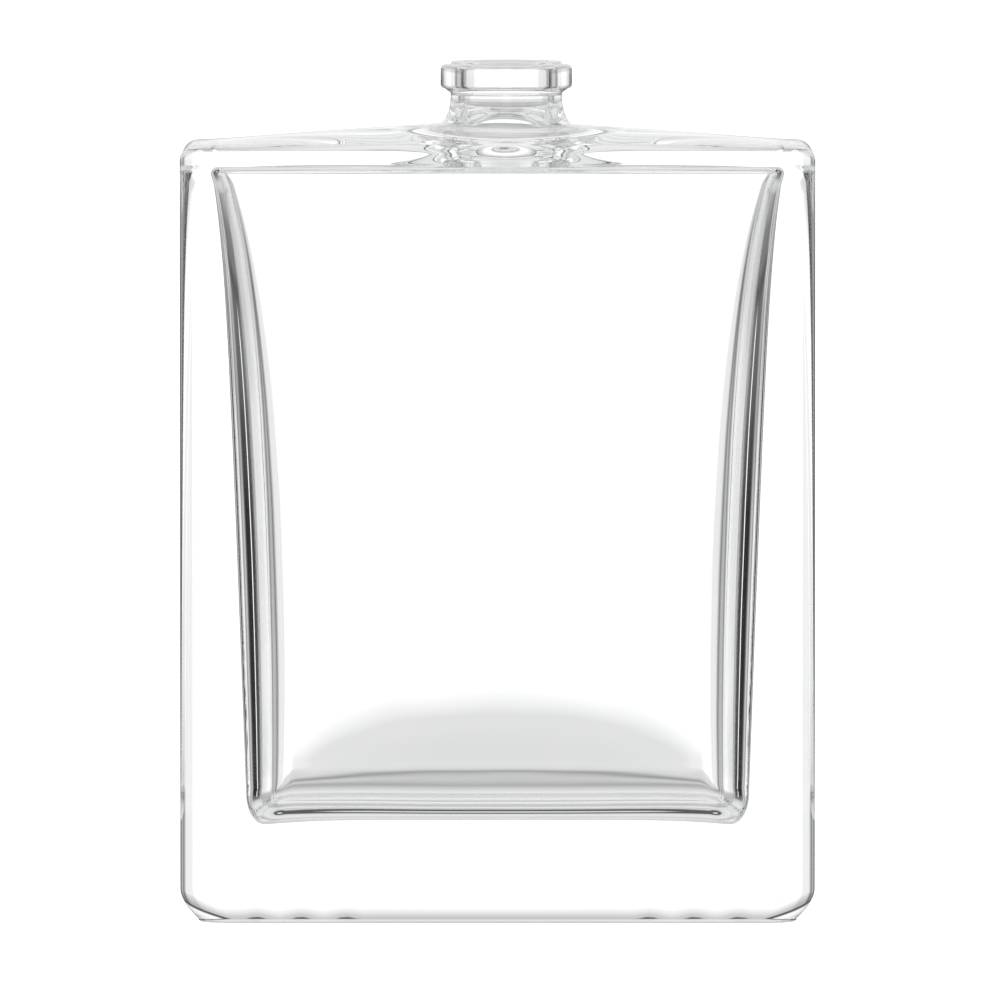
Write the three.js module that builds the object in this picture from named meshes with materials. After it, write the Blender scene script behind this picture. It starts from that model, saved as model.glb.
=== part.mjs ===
// A heavy clear-glass flacon for 75 ml of aftershave: a flat rectangular bottle with a thick base, a gently
// crowned shoulder and a plain crimp neck. It is one moulding of glass, so it is one closed skin: sections
// run up the outside from the middle of the base to the rim, and down the inside to the middle of the floor.
// Millimetres, +Z up, front towards -Y. The origin is the middle of the footprint, at standing height.
import * as THREE from "three";
import { LoftGeometry } from "three/addons/geometries/LoftGeometry.js";

// Outer body.
const bodyWidth = 72.2;
const bodyDepth = 26;
const bodyHeight = 88.45; // to the edge of the shoulder
const uprightRadius = 3.2; // the four upright edges, seen from above
const shoulderRadius = 1.7; // the edge of the shoulder over the narrow sides
const shoulderRadiusFront = 0.8; // and over the front and the back
const shoulderCrown = 2.5; // rise of the shoulder from its edge to the neck
const shoulderFall = 1.25; // how the crown falls to the sides: 1 is straight, more keeps it high for longer
const innerFall = 6; // the same for the push-up, the roof and the floor of the cavity
const depthFall = 2.5; // the same from front to back
const crownBlend = 1.5; // the shoulder keeps the body's outline longer than it takes the neck's

// Foot: the body draws in over footHeight, with a steepening curve.
const footHeight = 3.8;
const footEdge = 0.35; // the rounded edge of the bearing rim
const footInsetSide = 2;
const footInsetFront = 1.2;
const footCurveSide = 1.7;
const footCurveFront = 3;

// Base: a flat bearing rim round a shallow push-up.
const rimWidth = 2.6;
const rimCorner = 4; // corner of the bearing rim, seen from below
const pushUpHeight = 0.9;

// Neck, the 15 mm crimp finish.
const neckOffset = 1; // the neck stands this far to the right of the body's middle
const neckRadius = 6.35;
const flareWidth = 1.4; // where the neck widens into the shoulder
const flareHeight = 2.9;
const neckFoot = neckRadius + flareWidth;
const beadRadius = 7.5;
const beadHeight = 2.7;
const beadEdge = 0.45;
const beadUndercut = 0.45; // height of the cone from the bead down to the neck
const lipHeight = 0.4; // a narrower sealing lip stands on the bead
const lipRadius = 6.3;
const lipEdge = 0.2;
const totalHeight = 97.8;
const boreRadius = 4.9;
const boreEdge = 0.4;

// Cavity walls: the glass at the sides thickens towards the base, and thins quickly just under the shoulder.
const sideWall = 7.3;
const sideWallHeight = 16; // where the side wall is that thick
const sideTaper = 0.037; // millimetres of thickness for each millimetre of height
const topFlare = 1.2;
const topFlareHeight = 8;
const frontWall = 3.4; // glass in front of the cavity and behind it
const floorCorner = 5.3; // radius of the cavity's upright corners: at the floor,
const middleCorner = 6.2; // where they are widest,
const swellTop = 0.95; // which is halfway to this share of the cavity's height,
const topCorner = 2; // and under the roof,
const cornerFade = 4.5; // to which they shrink late: a higher power sets in later

// Cavity floor and roof.
const floorHeight = 10.6; // thickness of the base at the sides of the floor
const floorArch = 0.9; // rise of the floor to its middle
const floorTurnSide = 2.4; // the curve between the floor and the walls: its reach at the sides,
const floorTurnFront = 5; // its reach at the front and the back,
const floorTurnHeight = 4.6; // and its height
const floorTurnCorner = 2; // radius left in the corners at the end of that curve
const floorLean = 1.3; // how far the foot of the front wall comes inwards in the middle
const leanFall = 2.4; // how the lean falls to the sides: a higher power keeps it for longer
const floorFade = 9; // the arch and the lean fade away over about this height
const roofHeight = 86; // the edge of the roof
const roofCrown = 0.3;
const roofRadius = 0.8; // between the roof and the walls
const funnelRadius = 8.2; // where the roof starts to rise into the bore
const funnelStretch = 2.3; // the funnel's mouth is this many times as long from side to side
const funnelHeight = 3.8;
const funnelSpread = 1.6; // powers that keep the funnel steep near the bore
const funnelFade = 1.5; // and flat where it meets the roof

const smallest = 0.15; // radius left on a corner that an inset has used up

const lerp = THREE.MathUtils.lerp;

const quarterTurn = (t) => (Math.PI / 2) * t;

// Calls `make` at evenly spaced places from 0 to 1, which are 1 / count apart, leaving out the first `skip`.
function spread(count, make, skip = 0) {
  const made = [];
  for (let i = skip; i <= count; i++) {
    made.push(make(i / count));
  }
  return made;
}

// Where the points of a section lie, counterclockwise from the middle of the right side. `turn` is the
// direction in which the skin faces. `outX` and `outY` say how far out the centre of the corner's arc is,
// from the middle (0) to its place (1). `angle` is where the point goes on a round section.
function placesAround(sideSteps, cornerSteps, faceSteps) {
  const side = spread(sideSteps, (t) => ({ turn: 0, outX: 1, outY: t }));
  const corner = spread(cornerSteps, (t) => ({ turn: quarterTurn(t), outX: 1, outY: 1 }), 1);
  const face = spread(faceSteps, (t) => ({ turn: quarterTurn(1), outX: 1 - t, outY: 1 }), 1);
  const path = [...side, ...corner, ...face];
  const quarter = path.map((place, i) => ({ ...place, angle: quarterTurn(i / (path.length - 1)) }));
  const mirrored = (places, signs) => places.map((place) => ({ ...place, ...signs }));
  const inner = quarter.slice(1, -1);
  return [
    ...mirrored(quarter, { signX: 1, signY: 1 }),
    ...mirrored([...inner].reverse(), { signX: -1, signY: 1 }),
    ...mirrored(quarter, { signX: -1, signY: -1 }),
    ...mirrored([...inner].reverse(), { signX: 1, signY: -1 }),
  ];
}

const around = placesAround(2, 5, 5);

// How high the pillow of a crowned surface stands at a point: 1 in the middle and 0 at its edge.
function pillow(x, y, edge) {
  const fallX = Math.min(Math.abs(x) / edge.halfX, 1) ** edge.fall;
  const fallY = Math.min(Math.abs(y) / edge.halfY, 1) ** depthFall;
  return (1 - fallX) * (1 - fallY);
}

// The points of one section of the skin. The values are
//   halfX, halfY, corner   a rounded rectangle
//   z                      its height
//   round, radius, centre  a blend from that rectangle (0) into a circle about `centre` (1)
//   stretch                how many times as long as wide that circle is
//   crown, edge, level     a rise shaped like a pillow, blended from the pillow (0) to its full height (1)
//   lean                   how far the middle of the front and back comes inwards
function section({ halfX, halfY, corner, z, round = 0, radius = 0, centre = 0, ...shape }) {
  const { stretch = 1, crown = 0, edge, level = 0, lean = 0 } = shape;
  return around.map(({ turn, outX, outY, angle, signX, signY }) => {
    const boxX = outX * (halfX - corner) + corner * Math.cos(turn);
    const upright = outY * (halfY - corner) + corner * Math.sin(turn);
    const leaning = lean ? lean * outY * (1 - (boxX / halfX) ** leanFall) : 0;
    const ringX = centre + signX * radius * stretch * Math.cos(angle);
    const ringY = signY * radius * Math.sin(angle);
    const x = lerp(signX * boxX, ringX, round);
    const y = lerp(signY * (upright - leaning), ringY, round);
    const rise = crown ? crown * lerp(pillow(x, y, edge), 1, level) : 0;
    return new THREE.Vector3(x, y, z + rise);
  });
}

// A section of the outer body, drawn in by `inset` at the sides and `insetFront` at the front and back.
function bodySection(inset, z, more = {}, insetFront = inset) {
  const corner = Math.max(uprightRadius - inset, smallest);
  return { halfX: bodyWidth / 2 - inset, halfY: bodyDepth / 2 - insetFront, corner, z, ...more };
}

// A round section on the neck's axis.
function neckSection(radius, z, more = {}) {
  return { halfX: radius, halfY: radius, corner: radius, z, round: 1, radius, centre: neckOffset, ...more };
}

// The base, from the middle of the push-up out to the bearing rim and round the foot to the upright walls.
function base() {
  const edge = {
    halfX: bodyWidth / 2 - footInsetSide - footEdge - rimWidth,
    halfY: bodyDepth / 2 - footInsetFront - footEdge - rimWidth,
    fall: innerFall,
  };
  const pushUp = spread(5, (t) => ({
    halfX: edge.halfX * t,
    halfY: edge.halfY * t,
    corner: rimCorner * t,
    z: 0,
    crown: pushUpHeight,
    edge,
    round: 1 - t,
  }));
  const rimEdge = spread(2, (t) => {
    const turn = quarterTurn(t);
    const inward = footEdge * (1 - Math.sin(turn));
    const z = footEdge * (1 - Math.cos(turn));
    return bodySection(footInsetSide + inward, z, { corner: rimCorner }, footInsetFront + inward);
  });
  const foot = (t) => {
    const inset = footInsetSide * (1 - t) ** footCurveSide;
    const insetFront = footInsetFront * (1 - t) ** footCurveFront;
    const corner = lerp(rimCorner, uprightRadius, t);
    return bodySection(inset, lerp(footEdge, footHeight, t), { corner }, insetFront);
  };
  return [...pushUp, ...rimEdge, ...spread(5, foot, 1)];
}

// How far a rounded edge draws in at a depth below its top.
function rounding(depth, radius) {
  const rest = 1 - Math.min(depth / radius, 1);
  return radius * (1 - Math.sqrt(1 - rest ** 2));
}

// The edge of the shoulder, and its crown up to the foot of the neck.
const crownEdge = { halfX: bodyWidth / 2, halfY: bodyDepth / 2, fall: shoulderFall };

function shoulder() {
  const pillowed = { crown: shoulderCrown, edge: crownEdge };
  const edge = spread(7, (t) => {
    const depth = shoulderRadius * (1 - Math.sin(quarterTurn(t)));
    const inset = rounding(depth, shoulderRadius);
    return bodySection(inset, bodyHeight - depth, pillowed, rounding(depth, shoulderRadiusFront));
  });
  const crown = (t) => {
    const towardsNeck = { radius: neckFoot, centre: neckOffset, round: t ** crownBlend };
    return bodySection(shoulderRadius, bodyHeight, { ...pillowed, ...towardsNeck }, shoulderRadiusFront);
  };
  return [...edge, ...spread(6, crown, 1)];
}

// The outside of the neck: its flare, the stem, the bead that the crimped collar grips, and the lip.
function neck() {
  const beadTop = totalHeight - lipHeight;
  const beadBottom = beadTop - beadHeight;
  const flare = (t) => {
    const turn = quarterTurn(t);
    const z = bodyHeight + flareHeight * (1 - Math.cos(turn));
    const raised = { crown: shoulderCrown, level: Math.sin(turn), edge: crownEdge };
    return neckSection(neckFoot - flareWidth * Math.sin(turn), z, raised);
  };
  const stem = neckSection(neckRadius, beadBottom - beadUndercut);
  const lower = (t) => {
    const turn = quarterTurn(t);
    const z = beadBottom + beadEdge * (1 - Math.cos(turn));
    return neckSection(beadRadius - beadEdge * (1 - Math.sin(turn)), z);
  };
  const upper = (t) => {
    const turn = quarterTurn(t);
    const z = beadTop - beadEdge * (1 - Math.sin(turn));
    return neckSection(beadRadius - beadEdge * (1 - Math.cos(turn)), z);
  };
  const ledge = neckSection(lipRadius, beadTop);
  const lip = (t) => {
    const turn = quarterTurn(t);
    const z = totalHeight - lipEdge * (1 - Math.sin(turn));
    return neckSection(lipRadius - lipEdge * (1 - Math.cos(turn)), z);
  };
  return [...spread(4, flare, 1), stem, ...spread(2, lower), ...spread(3, upper), ledge, ...spread(2, lip)];
}

// Thickness of the side walls at a height.
function wallAt(z) {
  const straight = sideWall - sideTaper * (z - sideWallHeight);
  return straight - topFlare * Math.exp((z - roofHeight) / topFlareHeight);
}

// Radius of the cavity's upright corners at a height: it swells and returns, then shrinks towards the roof.
function cornerAt(z) {
  const share = (z - floorHeight) / (roofHeight - floorHeight);
  const swell = Math.sin(Math.PI * Math.min(share / swellTop, 1));
  return lerp(floorCorner, middleCorner, swell) - (floorCorner - topCorner) * share ** cornerFade;
}

const roofHalfX = bodyWidth / 2 - wallAt(roofHeight);
const cavityHalfY = bodyDepth / 2 - frontWall;
const roofEdge = { halfX: roofHalfX, halfY: cavityHalfY, fall: innerFall };

// The bore, from the sealing land down to where it opens into the roof of the cavity.
function bore() {
  const mouth = (t) => {
    const turn = quarterTurn(t);
    const z = totalHeight - boreEdge * (1 - Math.cos(turn));
    return neckSection(boreRadius + boreEdge * (1 - Math.sin(turn)), z);
  };
  const funnel = (t) => {
    const radius = lerp(boreRadius, funnelRadius, t ** funnelSpread);
    const z = roofHeight + funnelHeight * (1 - Math.sin(quarterTurn(t))) ** funnelFade;
    const stretch = lerp(1, funnelStretch, t);
    return neckSection(radius, z, { stretch, crown: roofCrown, level: 1 - t, edge: roofEdge });
  };
  return [...spread(3, mouth), ...spread(7, funnel)];
}

// The cavity: its roof, its walls, and its floor as far as the middle.
function cavity() {
  const roofBox = (inset, z) => ({
    halfX: roofHalfX - inset,
    halfY: cavityHalfY - inset,
    corner: Math.max(cornerAt(roofHeight) - inset, smallest),
    z,
    crown: roofCrown,
    edge: roofEdge,
  });
  const roof = (t) => {
    const fromFunnel = { radius: funnelRadius, stretch: funnelStretch, centre: neckOffset, round: 1 - t };
    return { ...roofBox(roofRadius, roofHeight), ...fromFunnel };
  };
  const roofTurn = (t) => {
    const turn = quarterTurn(t);
    return roofBox(roofRadius * (1 - Math.sin(turn)), roofHeight - roofRadius * (1 - Math.cos(turn)));
  };
  const wallTop = roofHeight - roofRadius;
  const wallBottom = floorHeight + floorTurnHeight;
  const floorEdge = { halfX: bodyWidth / 2 - wallAt(wallBottom), halfY: Infinity, fall: innerFall };
  const wall = (t) => {
    const z = lerp(wallTop, wallBottom, t);
    const near = Math.exp((wallBottom - z) / floorFade);
    const arched = { crown: floorArch * near, edge: floorEdge, lean: floorLean * near };
    return { halfX: bodyWidth / 2 - wallAt(z), halfY: cavityHalfY, corner: cornerAt(z), z, ...arched };
  };
  const floorTurn = (t) => {
    const turn = quarterTurn(t);
    return {
      halfX: floorEdge.halfX - floorTurnSide * (1 - Math.cos(turn)),
      halfY: cavityHalfY - floorTurnFront * (1 - Math.cos(turn)),
      corner: lerp(cornerAt(wallBottom), floorTurnCorner, t),
      z: wallBottom - floorTurnHeight * Math.sin(turn),
      crown: floorArch,
      edge: floorEdge,
      lean: floorLean * Math.cos(turn),
    };
  };
  const floor = (t) => ({
    halfX: (floorEdge.halfX - floorTurnSide) * (1 - t),
    halfY: (cavityHalfY - floorTurnFront) * (1 - t),
    corner: floorTurnCorner * (1 - t),
    z: floorHeight,
    crown: floorArch,
    edge: floorEdge,
    round: t,
  });
  return [
    ...spread(5, roof, 1),
    ...spread(3, roofTurn, 1),
    ...spread(12, wall, 1),
    ...spread(5, floorTurn, 1),
    ...spread(4, floor, 1),
  ];
}

const clearGlass = new THREE.MeshStandardMaterial({
  name: "glass",
  color: 0xeef3f4,
  roughness: 0.02,
  metalness: 0,
  transparent: true,
  opacity: 0.35,
});

function glassFlacon() {
  const skin = [...base(), ...shoulder(), ...neck(), ...bore(), ...cavity()].map(section);
  const mesh = new THREE.Mesh(new LoftGeometry(skin), clearGlass);
  mesh.name = "glass_flacon";
  return mesh;
}

const bottle = new THREE.Group();
bottle.add(glassFlacon());

export default bottle;
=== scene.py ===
"""A clear glass flacon for aftershave, on a white light table in a white tent with darker zones."""
import math

import bpy
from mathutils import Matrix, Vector


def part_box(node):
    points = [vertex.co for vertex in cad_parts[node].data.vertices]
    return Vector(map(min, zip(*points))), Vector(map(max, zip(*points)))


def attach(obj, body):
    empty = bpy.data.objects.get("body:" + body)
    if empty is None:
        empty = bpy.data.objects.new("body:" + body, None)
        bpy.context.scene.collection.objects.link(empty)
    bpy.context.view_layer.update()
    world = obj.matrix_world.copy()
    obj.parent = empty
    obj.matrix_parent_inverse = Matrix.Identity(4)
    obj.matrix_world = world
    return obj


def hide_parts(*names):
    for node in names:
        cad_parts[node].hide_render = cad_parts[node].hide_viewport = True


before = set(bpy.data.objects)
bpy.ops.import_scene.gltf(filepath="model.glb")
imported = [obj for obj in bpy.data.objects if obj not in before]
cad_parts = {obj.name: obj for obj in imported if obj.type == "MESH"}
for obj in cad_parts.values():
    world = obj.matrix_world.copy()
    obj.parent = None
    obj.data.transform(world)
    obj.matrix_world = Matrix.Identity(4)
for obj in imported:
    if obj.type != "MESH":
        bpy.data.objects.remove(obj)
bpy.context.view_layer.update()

node_low, node_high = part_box("glass_flacon")

MM = 0.001

# Outer body, in millimetres. Its overall sizes come from the CAD model's box.
BODY_WIDTH = (node_high[0] - node_low[0]) / MM
BODY_DEPTH = (node_high[1] - node_low[1]) / MM
TOTAL_HEIGHT = (node_high[2] - node_low[2]) / MM
BODY_HEIGHT = 88.45
UPRIGHT_RADIUS = 3.2
SHOULDER_RADIUS = 1.7  # of its edge over the narrow sides
SHOULDER_RADIUS_FRONT = 0.8  # and over the wide faces
FOOT_INSET_SIDE = 2.0
FOOT_INSET_FRONT = 1.2
FOOT_HEIGHT = 3.8
FOOT_CURVE_SIDE = 1.7  # how steeply the foot draws in: higher powers set in lower down
FOOT_CURVE_FRONT = 3
SHOULDER_CROWN = 2.5
SHOULDER_FALL = 1.25  # how the crown falls to the sides: 1 is straight, more keeps it high for longer
INNER_FALL = 6.0  # the same for the push-up, the roof and the floor of the cavity
DEPTH_FALL = 2.5  # the same from front to back
CROWN_BLEND = 1.5  # the shoulder keeps the body's outline longer than it takes the neck's
FOOT_EDGE = 0.35
RIPPLE_HEIGHT = 0.25  # waves in the foot of the wide faces
RIPPLE_LENGTH = 5.1
RIPPLE_CREST = 17.3  # distance of the first crest from the middle
RIPPLE_SPAN = (14.5, 30.5)
RIM_WIDTH = 2.6
RIM_CORNER = 4.0
PUSH_UP_HEIGHT = 0.9

# Neck.
NECK_OFFSET = 1.0
NECK_RADIUS = 6.35
FLARE_WIDTH = 1.4
FLARE_HEIGHT = 2.9
NECK_FOOT = NECK_RADIUS + FLARE_WIDTH
BEAD_RADIUS = 7.5
BEAD_HEIGHT = 2.7
BEAD_EDGE = 0.45
BEAD_UNDERCUT = 0.45
CREASE = 0.1  # width of the narrow cones beside the sharp turns, which keep the shading there crisp
LIP_HEIGHT = 0.4
LIP_RADIUS = 6.3
LIP_EDGE = 0.2
BORE_RADIUS = 4.9
BORE_EDGE = 0.4

# Cavity walls: the glass at the sides thickens towards the base, and thins quickly just under the shoulder.
SIDE_WALL = 7.3
SIDE_WALL_HEIGHT = 16  # where the side wall is that thick
SIDE_TAPER = 0.037  # millimetres of thickness for each millimetre of height
TOP_FLARE = 1.2
TOP_FLARE_HEIGHT = 8
FRONT_WALL = 3.4
FLOOR_CORNER = 5.3  # radius of the cavity's upright corners: at the floor,
MIDDLE_CORNER = 6.2  # where they are widest,
SWELL_TOP = 0.95  # which is halfway to this share of the cavity's height,
TOP_CORNER = 2.0  # and under the roof,
CORNER_FADE = 4.5  # to which they shrink late: a higher power sets in later

# Cavity floor and roof.
FLOOR_HEIGHT = 10.6
FLOOR_ARCH = 0.9
FLOOR_TURN_SIDE = 2.4
FLOOR_TURN_FRONT = 5.0
FLOOR_TURN_HEIGHT = 4.6
FLOOR_TURN_CORNER = 2.0
FLOOR_LEAN = 1.3  # how far the foot of the front wall comes inwards in the middle
LEAN_FALL = 2.4  # how the lean falls to the sides: a higher power keeps it for longer
FLOOR_FADE = 9  # the arch and the lean fade away over about this height
ROOF_HEIGHT = 86.0
ROOF_CROWN = 0.3
ROOF_RADIUS = 0.8
FUNNEL_RADIUS = 8.2
FUNNEL_STRETCH = 2.3  # the funnel is longer along the wide faces
FUNNEL_HEIGHT = 3.8
FUNNEL_SPREAD = 1.6  # powers that keep the funnel steep near the bore
FUNNEL_FADE = 1.5  # and flat where it meets the roof

SMALLEST = 0.15  # radius left on a corner that an inset has used up
FAR = 1e6
SUPPORT = 0.25  # a flat stretch ends in a narrow strip this wide, so that its shading stays flat
SUPPORT_SIDE = 0.02  # the same beside the upright corners, as a share of the narrow sides
SUPPORT_FACE = 0.01  # and of the wide faces


def lerp(a, b, t):
    return a + (b - a) * t


def smooth(t):
    """Rises from 0 to 1 and levels off at both ends."""
    t = min(max(t, 0), 1)
    return t * t * (3 - 2 * t)


def quarter_turn(t):
    return math.pi / 2 * t


def spread(count, make, skip=0):
    """Calls make at evenly spaced places from 0 to 1, leaving out the first `skip`."""
    return [make(i / count) for i in range(skip, count + 1)]


def places_around(side_steps, corner_steps, face_steps):
    """Where the points of a section lie, counterclockwise from the middle of the right side."""
    side = spread(side_steps, lambda t: (0.0, 1.0, t))
    corner = spread(corner_steps, lambda t: (quarter_turn(t), 1.0, 1.0), 1)
    face = spread(face_steps, lambda t: (quarter_turn(1), 1.0 - t, 1.0), 1)
    near_side = side[:-1] + [(0.0, 1.0, 1 - SUPPORT_SIDE)] + side[-1:]
    near_face = [(quarter_turn(1), 1 - SUPPORT_FACE, 1.0)] + face
    path = near_side + corner + near_face
    last = len(path) - 1
    quarter = [(*place, quarter_turn(i / last)) for i, place in enumerate(path)]
    inner = quarter[1:-1]
    around = [(*place, 1, 1) for place in quarter]
    around += [(*place, -1, 1) for place in reversed(inner)]
    around += [(*place, -1, -1) for place in quarter]
    around += [(*place, 1, -1) for place in reversed(inner)]
    return around


AROUND = places_around(10, 14, 36)


def pillow(x, y, edge):
    """How high the pillow of a crowned surface stands: 1 in the middle and 0 at its edge, which is given as
    (half width, half depth, how the pillow falls to the sides)."""
    fall_x = min(abs(x) / edge[0], 1) ** edge[2]
    fall_y = min(abs(y) / edge[1], 1) ** DEPTH_FALL
    return (1 - fall_x) * (1 - fall_y)


def rounding(depth, radius):
    """How far a rounded edge draws in at a depth below its top."""
    rest = 1 - min(depth / radius, 1)
    return radius * (1 - math.sqrt(1 - rest**2))


def ripple(x):
    """Waves in the foot of the wide faces, left and right of their middle: from -1 to 1."""
    start, end = RIPPLE_SPAN
    inside = smooth((abs(x) - start) / RIPPLE_LENGTH * 2) * smooth((end - abs(x)) / RIPPLE_LENGTH * 2)
    return inside * math.cos(2 * math.pi * (abs(x) - RIPPLE_CREST) / RIPPLE_LENGTH)


def section(
    half_x, half_y, corner, z, round=0.0, radius=0.0, stretch=1.0, centre=0.0,
    crown=0.0, level=0.0, edge=None, lean=0.0, wave=0.0,
):
    """One ring of the skin, in millimetres. `round` blends a rounded rectangle into a circle about
    `centre`, which `stretch` makes longer along x. `level` blends a crowned ring into a flat one, `lean`
    brings the middle of the wide faces inwards, and `wave` is the height of the ripples in them."""
    ring = []
    for turn, out_x, out_y, angle, sign_x, sign_y in AROUND:
        box_x = out_x * (half_x - corner) + corner * math.cos(turn)
        box_y = out_y * (half_y - corner) + corner * math.sin(turn)
        if lean:
            box_y -= lean * out_y * (1 - min(box_x / half_x, 1) ** LEAN_FALL)
        box_y -= wave * out_y * ripple(box_x)
        x = lerp(sign_x * box_x, centre + sign_x * radius * stretch * math.cos(angle), round)
        y = lerp(sign_y * box_y, sign_y * radius * math.sin(angle), round)
        rise = crown * lerp(pillow(x, y, edge), 1, level) if crown else 0.0
        ring.append((x, y, z + rise))
    return ring


def body_section(inset, z, corner=None, inset_front=None, **more):
    """A ring of the outer body, drawn in by `inset`, or by another amount at the front and the back."""
    corner = max(UPRIGHT_RADIUS - inset, SMALLEST) if corner is None else corner
    inset_front = inset if inset_front is None else inset_front
    return section(BODY_WIDTH / 2 - inset, BODY_DEPTH / 2 - inset_front, corner, z, **more)


def neck_section(radius, z, **more):
    """A round ring on the neck's axis."""
    return section(radius, radius, radius, z, round=1.0, radius=radius, centre=NECK_OFFSET, **more)


def base():
    """From the middle of the push-up out to the bearing rim, and round the foot to the upright walls."""
    side, front = FOOT_INSET_SIDE + FOOT_EDGE, FOOT_INSET_FRONT + FOOT_EDGE
    edge = (BODY_WIDTH / 2 - side - RIM_WIDTH, BODY_DEPTH / 2 - front - RIM_WIDTH, INNER_FALL)

    def push_up(t):
        return section(
            edge[0] * t, edge[1] * t, RIM_CORNER * t, 0.0, crown=PUSH_UP_HEIGHT, edge=edge, round=1 - t
        )

    def foot_edge(t):
        turn = quarter_turn(t)
        inward = FOOT_EDGE * (1 - math.sin(turn))
        z = FOOT_EDGE * (1 - math.cos(turn))
        inset, inset_front = FOOT_INSET_SIDE + inward, FOOT_INSET_FRONT + inward
        return body_section(inset, z, RIM_CORNER, inset_front, wave=RIPPLE_HEIGHT)

    def foot(t):
        inset = FOOT_INSET_SIDE * (1 - t) ** FOOT_CURVE_SIDE
        front_left = (1 - t) ** FOOT_CURVE_FRONT
        inset_front = FOOT_INSET_FRONT * front_left
        wave = RIPPLE_HEIGHT * front_left
        z = lerp(FOOT_EDGE, FOOT_HEIGHT, t)
        corner = lerp(RIM_CORNER, UPRIGHT_RADIUS, t)
        return body_section(inset, z, corner, inset_front, wave=wave)

    rim = body_section(side + SUPPORT, 0.0, RIM_CORNER, front + SUPPORT)
    return spread(20, push_up, 1) + [rim] + spread(6, foot_edge) + spread(16, foot, 1)


CROWN_EDGE = (BODY_WIDTH / 2, BODY_DEPTH / 2, SHOULDER_FALL)


def shoulder():
    """The edge of the shoulder, and its crown up to the foot of the neck."""
    wall_bottom = FOOT_HEIGHT + SUPPORT
    wall_top = BODY_HEIGHT - SHOULDER_RADIUS - SUPPORT
    walls = spread(8, lambda t: body_section(0, lerp(wall_bottom, wall_top, t)))

    def edge(t):
        depth = SHOULDER_RADIUS * (1 - math.sin(quarter_turn(t)))
        inset = rounding(depth, SHOULDER_RADIUS)
        inset_front = rounding(depth, SHOULDER_RADIUS_FRONT)
        return body_section(
            inset, BODY_HEIGHT - depth, inset_front=inset_front, crown=SHOULDER_CROWN, edge=CROWN_EDGE
        )

    def crown(t):
        return body_section(
            SHOULDER_RADIUS,
            BODY_HEIGHT,
            inset_front=SHOULDER_RADIUS_FRONT,
            crown=SHOULDER_CROWN,
            edge=CROWN_EDGE,
            radius=NECK_FOOT,
            centre=NECK_OFFSET,
            round=t**CROWN_BLEND,
        )

    return walls + spread(16, edge) + spread(30, crown, 1)


def neck():
    """The outside of the neck: its fillet, the stem, the bead that a crimped collar grips, and the lip."""
    bead_top = TOTAL_HEIGHT - LIP_HEIGHT
    bead_bottom = bead_top - BEAD_HEIGHT
    stem_top = bead_bottom - BEAD_UNDERCUT

    def fillet(t):
        turn = quarter_turn(t)
        radius = NECK_FOOT - FLARE_WIDTH * math.sin(turn)
        rise = FLARE_HEIGHT * (1 - math.cos(turn))
        level = math.sin(turn)
        return neck_section(radius, BODY_HEIGHT + rise, crown=SHOULDER_CROWN, level=level, edge=CROWN_EDGE)

    def lower(t):
        turn = quarter_turn(t)
        radius = BEAD_RADIUS - BEAD_EDGE * (1 - math.sin(turn))
        return neck_section(radius, bead_bottom + BEAD_EDGE * (1 - math.cos(turn)))

    def upper(t):
        turn = quarter_turn(t)
        radius = BEAD_RADIUS - BEAD_EDGE * (1 - math.cos(turn))
        return neck_section(radius, bead_top - BEAD_EDGE * (1 - math.sin(turn)))

    def lip(t):
        turn = quarter_turn(t)
        radius = LIP_RADIUS - LIP_EDGE * (1 - math.cos(turn))
        return neck_section(radius, TOTAL_HEIGHT - LIP_EDGE * (1 - math.sin(turn)))

    stem = [neck_section(NECK_RADIUS, stem_top - CREASE)]
    cone = [neck_section(NECK_RADIUS + CREASE, stem_top)]
    ledge = [neck_section(LIP_RADIUS + CREASE, bead_top)]
    bead = spread(6, lower) + spread(6, upper)
    return spread(14, fillet, 1) + stem + cone + bead + ledge + spread(4, lip)


def wall_at(z):
    """Thickness of the side walls at a height."""
    straight = SIDE_WALL - SIDE_TAPER * (z - SIDE_WALL_HEIGHT)
    return straight - TOP_FLARE * math.exp((z - ROOF_HEIGHT) / TOP_FLARE_HEIGHT)


def corner_at(z):
    """Radius of the cavity's upright corners at a height: it swells, returns and shrinks under the roof."""
    share = (z - FLOOR_HEIGHT) / (ROOF_HEIGHT - FLOOR_HEIGHT)
    swell = math.sin(math.pi * min(share / SWELL_TOP, 1))
    return lerp(FLOOR_CORNER, MIDDLE_CORNER, swell) - (FLOOR_CORNER - TOP_CORNER) * share**CORNER_FADE


ROOF_EDGE = (BODY_WIDTH / 2 - wall_at(ROOF_HEIGHT), BODY_DEPTH / 2 - FRONT_WALL, INNER_FALL)


def bore():
    """From the sealing land down to where the bore opens into the roof of the cavity."""

    def mouth(t):
        turn = quarter_turn(t)
        radius = BORE_RADIUS + BORE_EDGE * (1 - math.sin(turn))
        return neck_section(radius, TOTAL_HEIGHT - BORE_EDGE * (1 - math.cos(turn)))

    def funnel(t):
        radius = lerp(BORE_RADIUS, FUNNEL_RADIUS, t**FUNNEL_SPREAD)
        z = ROOF_HEIGHT + FUNNEL_HEIGHT * (1 - math.sin(quarter_turn(t))) ** FUNNEL_FADE
        stretch = lerp(1, FUNNEL_STRETCH, t)
        return neck_section(radius, z, stretch=stretch, crown=ROOF_CROWN, level=1 - t, edge=ROOF_EDGE)

    top = ROOF_HEIGHT + ROOF_CROWN + FUNNEL_HEIGHT
    land = [neck_section(BORE_RADIUS + BORE_EDGE + SUPPORT, TOTAL_HEIGHT)]
    tube = [neck_section(BORE_RADIUS, lerp(TOTAL_HEIGHT - BORE_EDGE, top, t / 4)) for t in range(1, 4)]
    return land + spread(6, mouth) + tube + spread(20, funnel)


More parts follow.
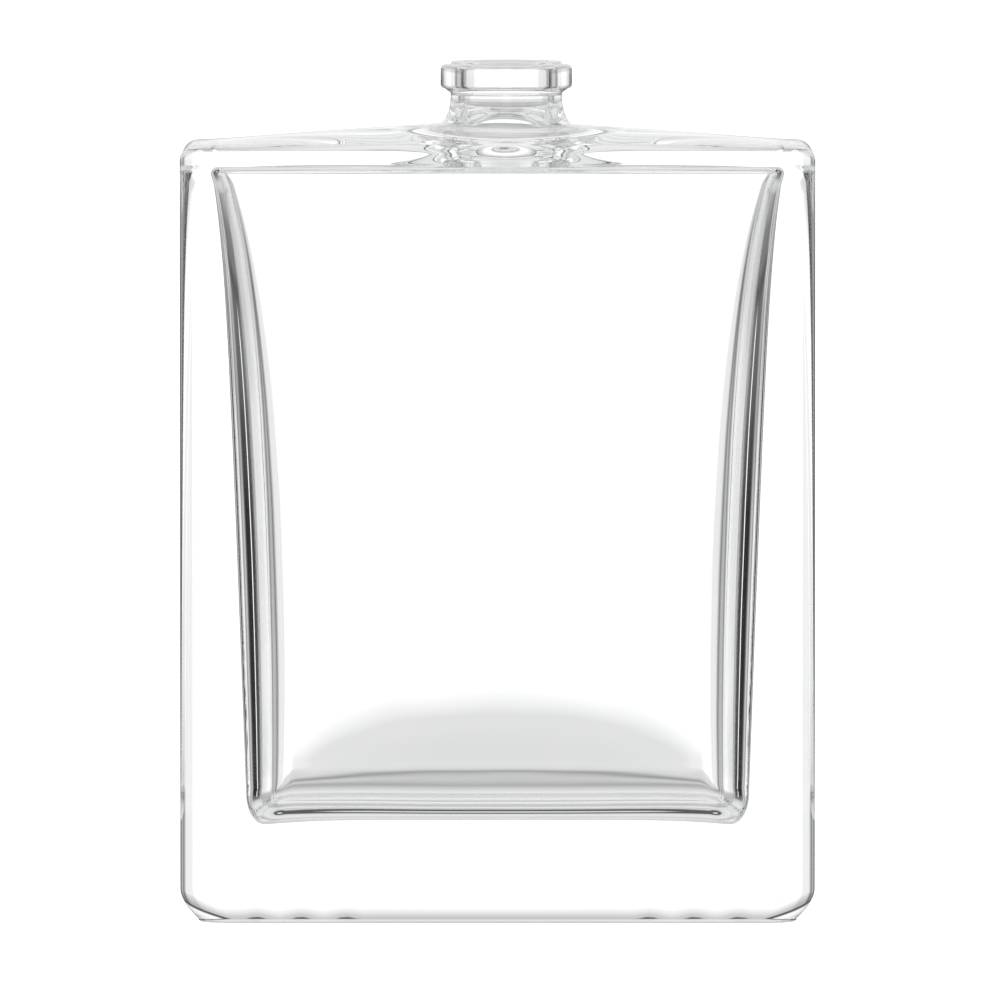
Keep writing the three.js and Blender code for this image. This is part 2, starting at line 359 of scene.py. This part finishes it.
def cavity():
    """The cavity: its roof, its walls, and its floor as far as the middle."""
    roof_corner = corner_at(ROOF_HEIGHT)
    roof_x = BODY_WIDTH / 2 - wall_at(ROOF_HEIGHT)
    roof_y = BODY_DEPTH / 2 - FRONT_WALL

    def roof_box(inset, z, **more):
        return section(roof_x - inset, roof_y - inset, max(roof_corner - inset, SMALLEST), z, **more)

    def roof(t):
        more = {"radius": FUNNEL_RADIUS, "stretch": FUNNEL_STRETCH, "centre": NECK_OFFSET, "round": 1 - t}
        return roof_box(ROOF_RADIUS, ROOF_HEIGHT, crown=ROOF_CROWN, edge=ROOF_EDGE, **more)

    def roof_turn(t):
        turn = quarter_turn(t)
        z = ROOF_HEIGHT - ROOF_RADIUS * (1 - math.cos(turn))
        return roof_box(ROOF_RADIUS * (1 - math.sin(turn)), z, crown=ROOF_CROWN, edge=ROOF_EDGE)

    wall_top = ROOF_HEIGHT - ROOF_RADIUS
    wall_bottom = FLOOR_HEIGHT + FLOOR_TURN_HEIGHT
    foot_x, foot_y, foot_corner = BODY_WIDTH / 2 - wall_at(wall_bottom), roof_y, corner_at(wall_bottom)
    arch_edge = (foot_x, FAR, INNER_FALL)
    arch = {"crown": FLOOR_ARCH, "edge": arch_edge}

    def wall(t):
        z = lerp(wall_top, wall_bottom, t)
        near = math.exp((wall_bottom - z) / FLOOR_FADE)
        return section(
            BODY_WIDTH / 2 - wall_at(z), roof_y, corner_at(z), z,
            crown=FLOOR_ARCH * near, edge=arch_edge, lean=FLOOR_LEAN * near,
        )

    def floor_turn(t):
        turn = quarter_turn(t)
        inset_x = FLOOR_TURN_SIDE * (1 - math.cos(turn))
        inset_y = FLOOR_TURN_FRONT * (1 - math.cos(turn))
        z = wall_bottom - FLOOR_TURN_HEIGHT * math.sin(turn)
        corner = lerp(foot_corner, FLOOR_TURN_CORNER, t)
        lean = FLOOR_LEAN * math.cos(turn)
        return section(foot_x - inset_x, foot_y - inset_y, corner, z, lean=lean, **arch)

    def floor(t):
        half_x = (foot_x - FLOOR_TURN_SIDE) * (1 - t)
        half_y = (foot_y - FLOOR_TURN_FRONT) * (1 - t)
        return section(half_x, half_y, FLOOR_TURN_CORNER * (1 - t), FLOOR_HEIGHT, round=t, **arch)

    rings = spread(20, roof, 1) + spread(10, roof_turn, 1) + spread(60, wall, 1)
    rings += spread(16, floor_turn, 1) + spread(16, floor, 1)
    return rings[:-1]


def skin_mesh(rings, first_point, last_point):
    """A closed mesh through the rings, ended by a fan at each end."""
    count = len(AROUND)
    points = [first_point] + [point for ring in rings for point in ring] + [last_point]
    faces = []
    for k in range(count):
        faces.append((0, 1 + (k + 1) % count, 1 + k))
    for r in range(len(rings) - 1):
        low, high = 1 + r * count, 1 + (r + 1) * count
        for k in range(count):
            step = (k + 1) % count
            faces.append((low + k, low + step, high + step, high + k))
    last = len(points) - 1
    top = 1 + (len(rings) - 1) * count
    for k in range(count):
        faces.append((last, top + k, top + (k + 1) % count))
    mesh = bpy.data.meshes.new("glass_flacon_skin")
    mesh.from_pydata([[MM * c for c in point] for point in points], [], faces)
    mesh.validate()
    mesh.shade_smooth()
    return mesh


GLASS_IOR = 1.52
CLOUD_SIZE = 14 * MM  # of the faint clouding in the glass
CLOUD_SPAN = (0.35, 0.65)  # between these values of its noise it goes from cloudy to clear
CLOUDY = (0.985, 0.989, 0.988, 1.0)
CLEAR = (1.0, 1.0, 1.0, 1.0)
WAVE_SIZE = 7 * MM  # of the gentle waves in its surface
WAVE_HEIGHT = 0.02 * MM
DEPTH_TINT = (0.95, 0.985, 1.0, 1.0)
DEPTH_DENSITY = 4.0  # how much of that tint a metre of glass takes on


def clear_glass():
    """Clear flint glass: a trace of cool tint in its depth, faint clouding, and the gentle waves of a
    fire-polished surface."""
    material = bpy.data.materials.new("clear_glass")
    material.use_nodes = True
    tree = material.node_tree
    glass = tree.nodes["Principled BSDF"]
    glass.inputs["Roughness"].default_value = 0.0
    glass.inputs["IOR"].default_value = GLASS_IOR
    glass.inputs["Transmission Weight"].default_value = 1.0
    place = tree.nodes.new("ShaderNodeTexCoord")
    clouds = tree.nodes.new("ShaderNodeTexNoise")
    clouds.inputs["Scale"].default_value = 1 / CLOUD_SIZE
    clouds.inputs["Detail"].default_value = 2.0
    tree.links.new(place.outputs["Object"], clouds.inputs["Vector"])
    tint = tree.nodes.new("ShaderNodeValToRGB")
    for element, position, color in zip(tint.color_ramp.elements, CLOUD_SPAN, (CLOUDY, CLEAR)):
        element.position = position
        element.color = color
    tree.links.new(clouds.outputs[0], tint.inputs[0])
    tree.links.new(tint.outputs[0], glass.inputs["Base Color"])
    waves = tree.nodes.new("ShaderNodeTexNoise")
    waves.inputs["Scale"].default_value = 1 / WAVE_SIZE
    waves.inputs["Detail"].default_value = 0.0
    tree.links.new(place.outputs["Object"], waves.inputs["Vector"])
    bump = tree.nodes.new("ShaderNodeBump")
    bump.inputs["Distance"].default_value = WAVE_HEIGHT
    tree.links.new(waves.outputs[0], bump.inputs["Height"])
    tree.links.new(bump.outputs[0], glass.inputs["Normal"])
    absorption = tree.nodes.new("ShaderNodeVolumeAbsorption")
    absorption.inputs["Color"].default_value = DEPTH_TINT
    absorption.inputs["Density"].default_value = DEPTH_DENSITY
    tree.links.new(absorption.outputs[0], tree.nodes["Material Output"].inputs["Volume"])
    return material


def make_flacon():
    rings = base() + shoulder() + neck() + bore() + cavity()
    mesh = skin_mesh(rings, (0.0, 0.0, PUSH_UP_HEIGHT), (0.0, 0.0, FLOOR_HEIGHT + FLOOR_ARCH))
    flacon = bpy.data.objects.new("flacon_glass", mesh)
    bpy.context.scene.collection.objects.link(flacon)
    mesh.materials.append(clear_glass())
    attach(flacon, "root")
    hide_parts("glass_flacon")


# The set, as light by direction: azimuth is 0 straight behind the bottle, 90 at its sides and 180 in front.
# Each stop is (degrees, brightness), and brightness changes evenly between stops.
LIGHT_BY_ELEVATION = (
    (-90, 0.75), (-85, 0.7), (-83, 0.08), (-76, 0.08), (-72, 0.7), (-60, 0.8), (-46, 0.85), (-30, 0.65),
    (-24, 0.55), (-19.5, 0.42), (-16, 0.65), (-14.5, 0.3), (-13.3, 0.62), (-12, 0.74), (-10, 0.78),
    (-7.6, 0.82), (-6.6, 1.08), (-6, 1.2), (5, 1.2), (8, 0.97), (12, 0.85), (17, 0.66), (21, 0.6),
    (22.5, 0.1), (26, 0.13), (28, 1.0), (31, 1.2), (40, 1.0), (44, 0.5), (54, 0.5), (58, 1.0), (90, 0.7),
)
SHADE_BY_AZIMUTH = (
    (0, 1.0), (16, 1.0), (19, 0.8), (32, 0.8), (37, 0.4), (41, 0.2), (46, 0.45), (55, 0.5), (61, 0.15),
    (68, 0.02), (86, 0.02), (97, 0.06), (118, 0.03), (165, 0.03), (172, 1.0), (180, 1.0),
)
# How far the shade reaches at each elevation.
SHADED_ELEVATIONS = (
    (-90, 0.0), (-27, 0.0), (-17, 0.7), (-10, 0.85), (-7, 1.0), (20, 1.0), (30, 0.0), (90, 0.0),
)
# Gaps that are lit in the shade: where they start and end in azimuth, and their light by elevation.
LIT_GAPS = (
    (88, 92, ((-90, 0.0), (-14, 0.0), (-12, 1.1), (6, 1.1), (8, 0.0), (90, 0.0))),
    (131, 139, ((-90, 0.0), (-20, 0.0), (-18, 0.8), (-12, 0.8), (-10, 0.0), (90, 0.0))),
    (41, 49, ((-90, 0.0), (-30, 0.0), (-27, 0.8), (-12, 0.8), (-10, 0.0), (90, 0.0))),
)
BACKDROP = 1.2
REFLECTED = 0.1  # share of the light that the upright outer faces mirror
UPPER_TENT = 0.95  # what the crown of the shoulder mirrors: a bright tent above the horizon
MIRRORED_ABOVE = ((-90, 0.0), (-2, 0.0), (2, 1.0), (90, 1.0))  # how far that counts, by elevation

TABLE_RADIUS = 0.5
TABLE_GAP = 0.0002  # air between the glass and the table


class Nodes:
    """A short way to write a node tree of Math nodes."""

    def __init__(self, tree):
        self.tree = tree

    def add(self, kind, **settings):
        node = self.tree.nodes.new(kind)
        for name, value in settings.items():
            setattr(node, name, value)
        return node

    def link(self, source, socket):
        if hasattr(source, "is_output"):
            self.tree.links.new(source, socket)
        else:
            socket.default_value = source

    def math(self, operation, *values):
        node = self.add("ShaderNodeMath", operation=operation)
        for value, socket in zip(values, node.inputs):
            self.link(value, socket)
        return node.outputs[0]

    def stops(self, value, stops):
        """A value that changes evenly from stop to stop; stops are (degrees, result) from low to high."""
        low, high = stops[0][0], stops[-1][0]
        share = self.math("DIVIDE", self.math("SUBTRACT", value, low), high - low)
        top = max(result for _, result in stops)
        node = self.add("ShaderNodeValToRGB")
        self.link(share, node.inputs[0])
        ramp = node.color_ramp
        for _ in stops[2:]:
            ramp.elements.new(0.5)
        for element, (place, result) in zip(ramp.elements, stops):
            element.position = (place - low) / (high - low)
            level = result / top
            element.color = (level, level, level, 1.0)
        return self.math("MULTIPLY", node.outputs[0], top)

    def blend(self, low, high, share):
        return self.math("ADD", low, self.math("MULTIPLY", self.math("SUBTRACT", high, low), share))


def make_tent():
    """The tent, as a world whose light depends on the direction that a ray leaves in."""
    world = bpy.data.worlds.new("tent")
    bpy.context.scene.world = world
    world.use_nodes = True
    nodes = Nodes(world.node_tree)
    world.node_tree.nodes.clear()
    direction = nodes.add("ShaderNodeTexCoord").outputs["Generated"]
    parts = nodes.add("ShaderNodeSeparateXYZ")
    nodes.link(direction, parts.inputs[0])
    x, y, z = parts.outputs
    degrees = 180 / math.pi
    azimuth = nodes.math("MULTIPLY", nodes.math("ARCTAN2", nodes.math("ABSOLUTE", x), y), degrees)
    elevation = nodes.math("MULTIPLY", nodes.math("ARCSINE", z), degrees)
    shade = nodes.stops(azimuth, SHADE_BY_AZIMUTH)
    shaded = nodes.stops(elevation, SHADED_ELEVATIONS)
    light = nodes.stops(elevation, LIGHT_BY_ELEVATION)
    light = nodes.math("MULTIPLY", light, nodes.blend(1.0, shade, shaded))
    for start, end, gap_light in LIT_GAPS:
        past_start = nodes.math("GREATER_THAN", azimuth, start)
        inside = nodes.math("MULTIPLY", past_start, nodes.math("LESS_THAN", azimuth, end))
        gap = nodes.math("MULTIPLY", inside, nodes.stops(elevation, gap_light))
        light = nodes.math("MAXIMUM", light, gap)
    path = nodes.add("ShaderNodeLightPath").outputs
    mirrored = nodes.math("SUBTRACT", 1.0, path["Is Transmission Ray"])
    reflection = nodes.math("MULTIPLY", light, REFLECTED)
    reflection = nodes.blend(reflection, UPPER_TENT, nodes.stops(elevation, MIRRORED_ABOVE))
    light = nodes.blend(light, reflection, mirrored)
    light = nodes.blend(light, BACKDROP, path["Is Camera Ray"])
    background = nodes.add("ShaderNodeBackground")
    background.inputs["Color"].default_value = (1.0, 1.0, 1.0, 1.0)
    nodes.link(light, background.inputs["Strength"])
    output = nodes.add("ShaderNodeOutputWorld")
    nodes.link(background.outputs[0], output.inputs["Surface"])


def make_table():
    """A round white table that only the camera sees. Through the glass, the tent's light shows instead."""
    steps = 96
    points = [(0.0, 0.0, 0.0)]
    for i in range(steps):
        angle = 2 * math.pi * i / steps
        points.append((TABLE_RADIUS * math.cos(angle), TABLE_RADIUS * math.sin(angle), 0.0))
    faces = [(0, 1 + i, 1 + (i + 1) % steps) for i in range(steps)]
    mesh = bpy.data.meshes.new("light_table")
    mesh.from_pydata(points, [], faces)
    table = bpy.data.objects.new("light_table", mesh)
    table.location.z = node_low[2] - TABLE_GAP
    bpy.context.scene.collection.objects.link(table)
    material = bpy.data.materials.new("light_table")
    material.use_nodes = True
    nodes = Nodes(material.node_tree)
    material.node_tree.nodes.clear()
    glow = nodes.add("ShaderNodeEmission")
    glow.inputs["Strength"].default_value = BACKDROP
    clear = nodes.add("ShaderNodeBsdfTransparent")
    choice = nodes.add("ShaderNodeMixShader")
    nodes.link(nodes.add("ShaderNodeLightPath").outputs["Is Camera Ray"], choice.inputs[0])
    nodes.link(clear.outputs[0], choice.inputs[1])
    nodes.link(glow.outputs[0], choice.inputs[2])
    output = nodes.add("ShaderNodeOutputMaterial")
    nodes.link(choice.outputs[0], output.inputs["Surface"])
    mesh.materials.append(material)


# The camera: a long lens, a little above the bottle.
CAMERA_DISTANCE = 2.0
CAMERA_ELEVATION = 3.0
BODY_SHARE = 0.636  # of the frame's width, which the body takes up
FRAME_WIDTH = BODY_WIDTH / BODY_SHARE * MM
AIM = Vector((0.28, -BODY_DEPTH / 2, 48.3)) * MM


def make_camera():
    data = bpy.data.cameras.new("camera")
    data.sensor_width = 36.0
    data.lens = data.sensor_width * CAMERA_DISTANCE / FRAME_WIDTH
    data.clip_start = 0.1
    data.clip_end = 20.0
    camera = bpy.data.objects.new("camera", data)
    angle = math.radians(CAMERA_ELEVATION)
    camera.location = AIM + CAMERA_DISTANCE * Vector((0, -math.cos(angle), math.sin(angle)))
    camera.rotation_euler = (math.radians(90) - angle, 0, 0)
    bpy.context.scene.collection.objects.link(camera)
    bpy.context.scene.camera = camera


BOUNCES = 96  # light is caught for long in the corners of thick glass

make_camera()
make_tent()
make_table()
make_flacon()
scene = bpy.context.scene
scene.view_settings.view_transform = "Standard"
scene.cycles.max_bounces = BOUNCES
scene.cycles.transmission_bounces = BOUNCES
scene.cycles.glossy_bounces = BOUNCES
